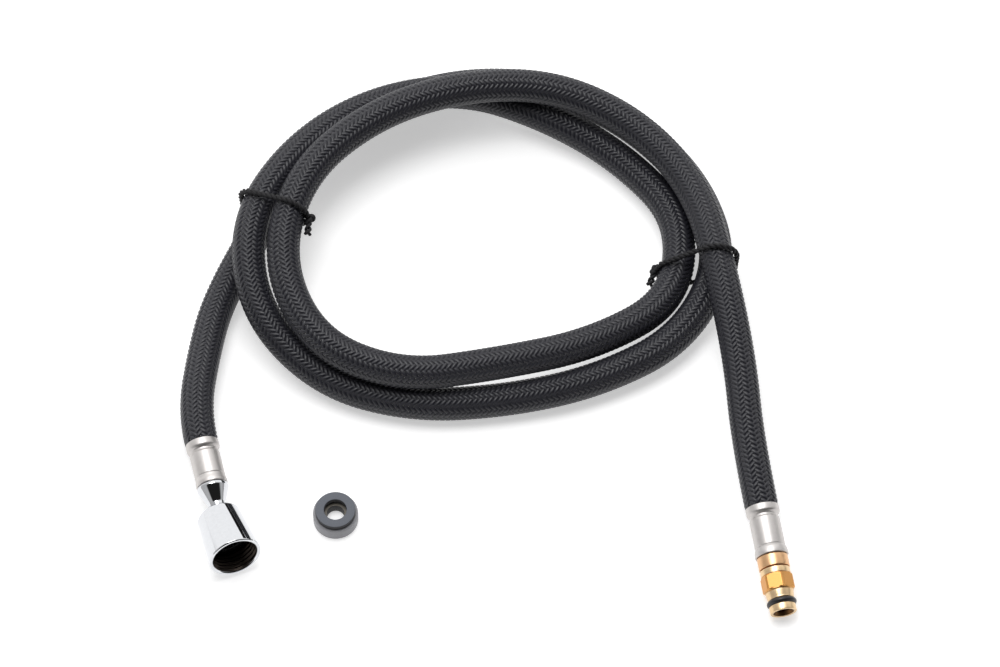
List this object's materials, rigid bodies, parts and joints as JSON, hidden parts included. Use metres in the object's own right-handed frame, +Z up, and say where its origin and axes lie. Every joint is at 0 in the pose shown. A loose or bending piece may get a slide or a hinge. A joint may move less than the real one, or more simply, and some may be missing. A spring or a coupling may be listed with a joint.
{
  "type": "braided hose",
  "caption": "Black nylon-braided flexible water hose lying in a tied coil, with a conical swivel nut on a ball joint at one end, a brass O-ring spigot at the other, and a loose seal.",
  "frame": {"origin": "on the floor, under the middle of the whole object's box", "axes": "+Z up from the floor that the coil lies on; the two free ends point to -Y; +X is towards the brass spigot's side"},
  "size_m": [0.2529, 0.2617, 0.0396],
  "materials": {
    "braid": "tight woven nylon, charcoal black",
    "liner": "smooth translucent tube",
    "satin_nickel": "satin nickel",
    "chrome": "polished",
    "acetal": "smooth",
    "brass": "turned, satin",
    "black_rubber": "smooth, slightly oily",
    "slate_rubber": "matte",
    "grey_plastic": "matte",
    "warm_grey_plastic": "matte",
    "tie_cord": "matte"
  },
  "bodies": {
    "hose": {"hose_braid": "braid", "hose_liner": "liner", "spray_end_ferrule": "satin_nickel", "ball_stem": "chrome", "supply_end_ferrule": "satin_nickel", "connector_insert": "brass", "connector_body": "brass", "nozzle_seal": "black_rubber", "tie_left": "tie_cord", "tie_right": "tie_cord"},
    "ball_cup": {"ball_cup": "acetal"},
    "front_seat": {"front_seat": "acetal", "seat_seal": "black_rubber"},
    "coupling_nut": {"coupling_nut": "chrome", "nut_washer": "black_rubber"},
    "loose_seal": {"seal_carrier": "grey_plastic", "check_seal": "slate_rubber", "seal_sleeve": "warm_grey_plastic"}
  },
  "joints": [
    {"name": "nut_swing", "type": "hinge", "parent": "hose", "child": "ball_cup", "pos_m": [-0.1076, -0.0918, 0.0099], "axis": [0, 0, 1], "range_deg": [-20, 7]},
    {"name": "nut_nod", "type": "hinge", "parent": "ball_cup", "child": "front_seat", "pos_m": [-0.1076, -0.0918, 0.0099], "axis": [-0.9367, -0.3502, 0], "range_deg": [-24, 2]},
    {"name": "nut_spin", "type": "hinge", "parent": "front_seat", "child": "coupling_nut", "pos_m": [-0.1076, -0.0918, 0.0099], "axis": [0.3459, -0.9251, 0.1564], "continuous": true},
    {"name": "seal_lift", "type": "slide", "parent": "hose", "child": "loose_seal", "axis": [0, 0, 1], "range_m": [0, 0.06]}
  ]
}
